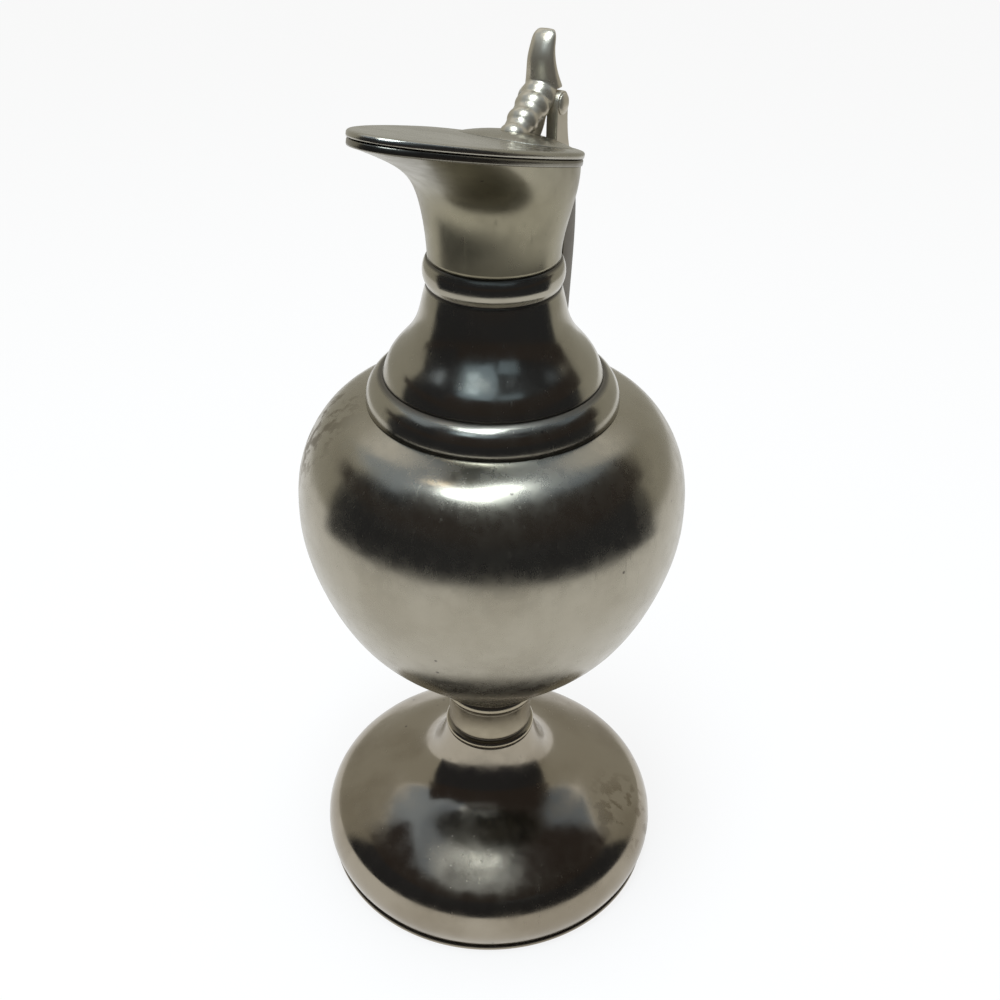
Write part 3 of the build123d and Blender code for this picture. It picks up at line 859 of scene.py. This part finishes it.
horn = fair([(19.3, 184.2, 3.7, 3.2), (18.5, 186.8, 3.2, 2.4), (18.0, 189.8, 2.8, 1.9),
             (18.5, 192.2, 2.5, 1.5), (19.3, 193.8, 2.2, 1.1), (19.9, 194.5, 1.6, 0.7)], steps=8)
knuckle = np.c_[PIN_Y + KNUCKLE_R * np.cos(ROUND), PIN_Z + KNUCKLE_R * np.sin(ROUND)]
ridge = fair([(5.6, 177.6), (10.4, 179.5), (16.0, 182.4), (19.0, 183.6)])
under = arc((17.6, 178.6), (16.5, 176.7), (14.9, 175.2))
web = np.vstack([ridge, [(PIN_Y, PIN_Z)], under, [(6.0, 177.0)]])
lumps = [beads, arm_between("arm", (7.0, 177.9, 2.5, 1.8), (*KNEE, 3.4, 2.6)),
         ball_at("knee", *KNEE, 3.6, 3.2), skin("horn", rings_along(horn)),
         plate_across("web", web, WEB_HALF), plate_across("knuckle", knuckle, KNUCKLE_HALF)]
finish(run_together("thumbpiece_cast", lumps, 0.15, 22), CAST, ["thumbpiece"], "lid")

# %% [markdown]
# ## Handle and hinge
#
# The handle is a strap bent from the neck's back down to the shoulder, where a small pad of solder
# holds it. It follows a path, so a tree carries a section along a drawn line. Two lugs stand on its
# top and hold the pin that the lid's knuckle turns on. The lugs and the pad keep the solids' shapes,
# whose edges are sharp, so a remesh and a little smoothing rub them round.

# %% A tree that carries a section along a line
def strap_tree():
    """Geometry Nodes: a closed section carried along a line, with closed ends."""
    tree = bpy.data.node_groups.new("strap", "GeometryNodeTree")
    tree.is_modifier = True
    face = tree.interface
    face.new_socket("Line", in_out="INPUT", socket_type="NodeSocketObject")
    face.new_socket("Width", in_out="INPUT", socket_type="NodeSocketFloat")
    face.new_socket("Thickness", in_out="INPUT", socket_type="NodeSocketFloat")
    face.new_socket("Corner", in_out="INPUT", socket_type="NodeSocketFloat")
    face.new_socket("Metal", in_out="INPUT", socket_type="NodeSocketMaterial")
    face.new_socket("Geometry", in_out="OUTPUT", socket_type="NodeSocketGeometry")
    given = add(tree, "NodeGroupInput").outputs
    drawn = add(tree, "GeometryNodeObjectInfo", {"Object": given["Line"]}).outputs["Geometry"]
    line = add(tree, "GeometryNodeMeshToCurve", {"Mesh": drawn}).outputs[0]
    box = add(tree, "GeometryNodeCurvePrimitiveQuadrilateral", {"Width": given["Thickness"],
                                                                "Height": given["Width"]}).outputs[0]
    section = add(tree, "GeometryNodeFilletCurve", {"Curve": box, "Radius": given["Corner"],
                                                    "Count": 6}, mode="POLY")
    swept = add(tree, "GeometryNodeCurveToMesh", {
        "Curve": line, "Profile Curve": section.outputs[0], "Fill Caps": True})
    real = add(tree, "GeometryNodeRealizeInstances", {"Geometry": swept.outputs[0]})
    metal = add(tree, "GeometryNodeSetMaterial", {"Geometry": real.outputs[0],
                                                  "Material": given["Metal"]})
    add(tree, "NodeGroupOutput", {"Geometry": metal.outputs[0]})
    return tree


STRAP_FOOT, STRAP_WIDTH, STRAP_THICK, STRAP_CORNER = 123.6, 7.0, 2.6, 1.1

path = fair([(29.0, 122.0), (29.8, 134.0), (30.9, 146.0), (30.9, 158.0), (27.8, 166.4), (21.4, 169.6),
             (15.0, 170.2)], steps=16)
strap_line = drawing([(0, y, z) for y, z in path if z > STRAP_FOOT])
strap = grow("handle_strap_skin", strap_tree(), Line=strap_line, Width=STRAP_WIDTH * MM,
             Thickness=STRAP_THICK * MM, Corner=STRAP_CORNER * MM, Metal=HANDLE)
bpy.data.objects.remove(strap_line)
print("strap spans", [round(v / MM, 1) for v in strap.dimensions])
finish(strap, HANDLE, ["handle_strap"])

# %% Lugs and pad with rubbed edges
def rubbed_copy(node, name, grain, smoothing):
    """A solid's mesh, merged, remeshed and smoothed, so its edges are a casting's edges."""
    source = bpy.data.objects.new(node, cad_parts[node].data.copy())
    shape = bmesh.new()
    shape.from_mesh(source.data)
    bmesh.ops.remove_doubles(shape, verts=shape.verts, dist=1e-6)
    shape.to_mesh(source.data)
    shape.free()
    return run_together(name, [source], grain, smoothing)


for node, name in (("hinge_lug_near", "lug_near"), ("hinge_lug_far", "lug_far")):
    finish(rubbed_copy(node, name, 0.12, 5), CAST, [node])
finish(rubbed_copy("handle_foot", "handle_pad", 0.15, 4), HANDLE, ["handle_foot"])

# %% Pin
PLAY, LUG_THICK, PIN_R, HEAD_R, HEAD_H = 0.2, 2.3, 0.9, 2.09, 0.71

half = KNUCKLE_HALF + PLAY + LUG_THICK
head = [(HEAD_H * math.sin(t), HEAD_R * math.cos(t)) for t in np.radians((0, 15, 30, 45, 60, 72, 84))]
pin = [(-half - out, r) for out, r in head[::-1]] + [(-half, PIN_R), (half, PIN_R)]
pin += [(half + out, r) for out, r in head]
pin_rings = [np.c_[np.full(len(ROUND), x), PIN_Y + r * np.cos(ROUND), PIN_Z + r * np.sin(ROUND)]
             for x, r in pin]
finish(skin("pin", pin_rings), CAST, ["hinge_pin"])

# %% [markdown]
# ## Check the size and finish
#
# The box of the solids was kept at the start; the box of the finished pieces is set beside it
# here.

looks_box = [list(corner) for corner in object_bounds()]
for label, box in (("solids", cad_box), ("looks", looks_box)):
    print(label, [[round(v / MM, 2) for v in corner] for corner in box])
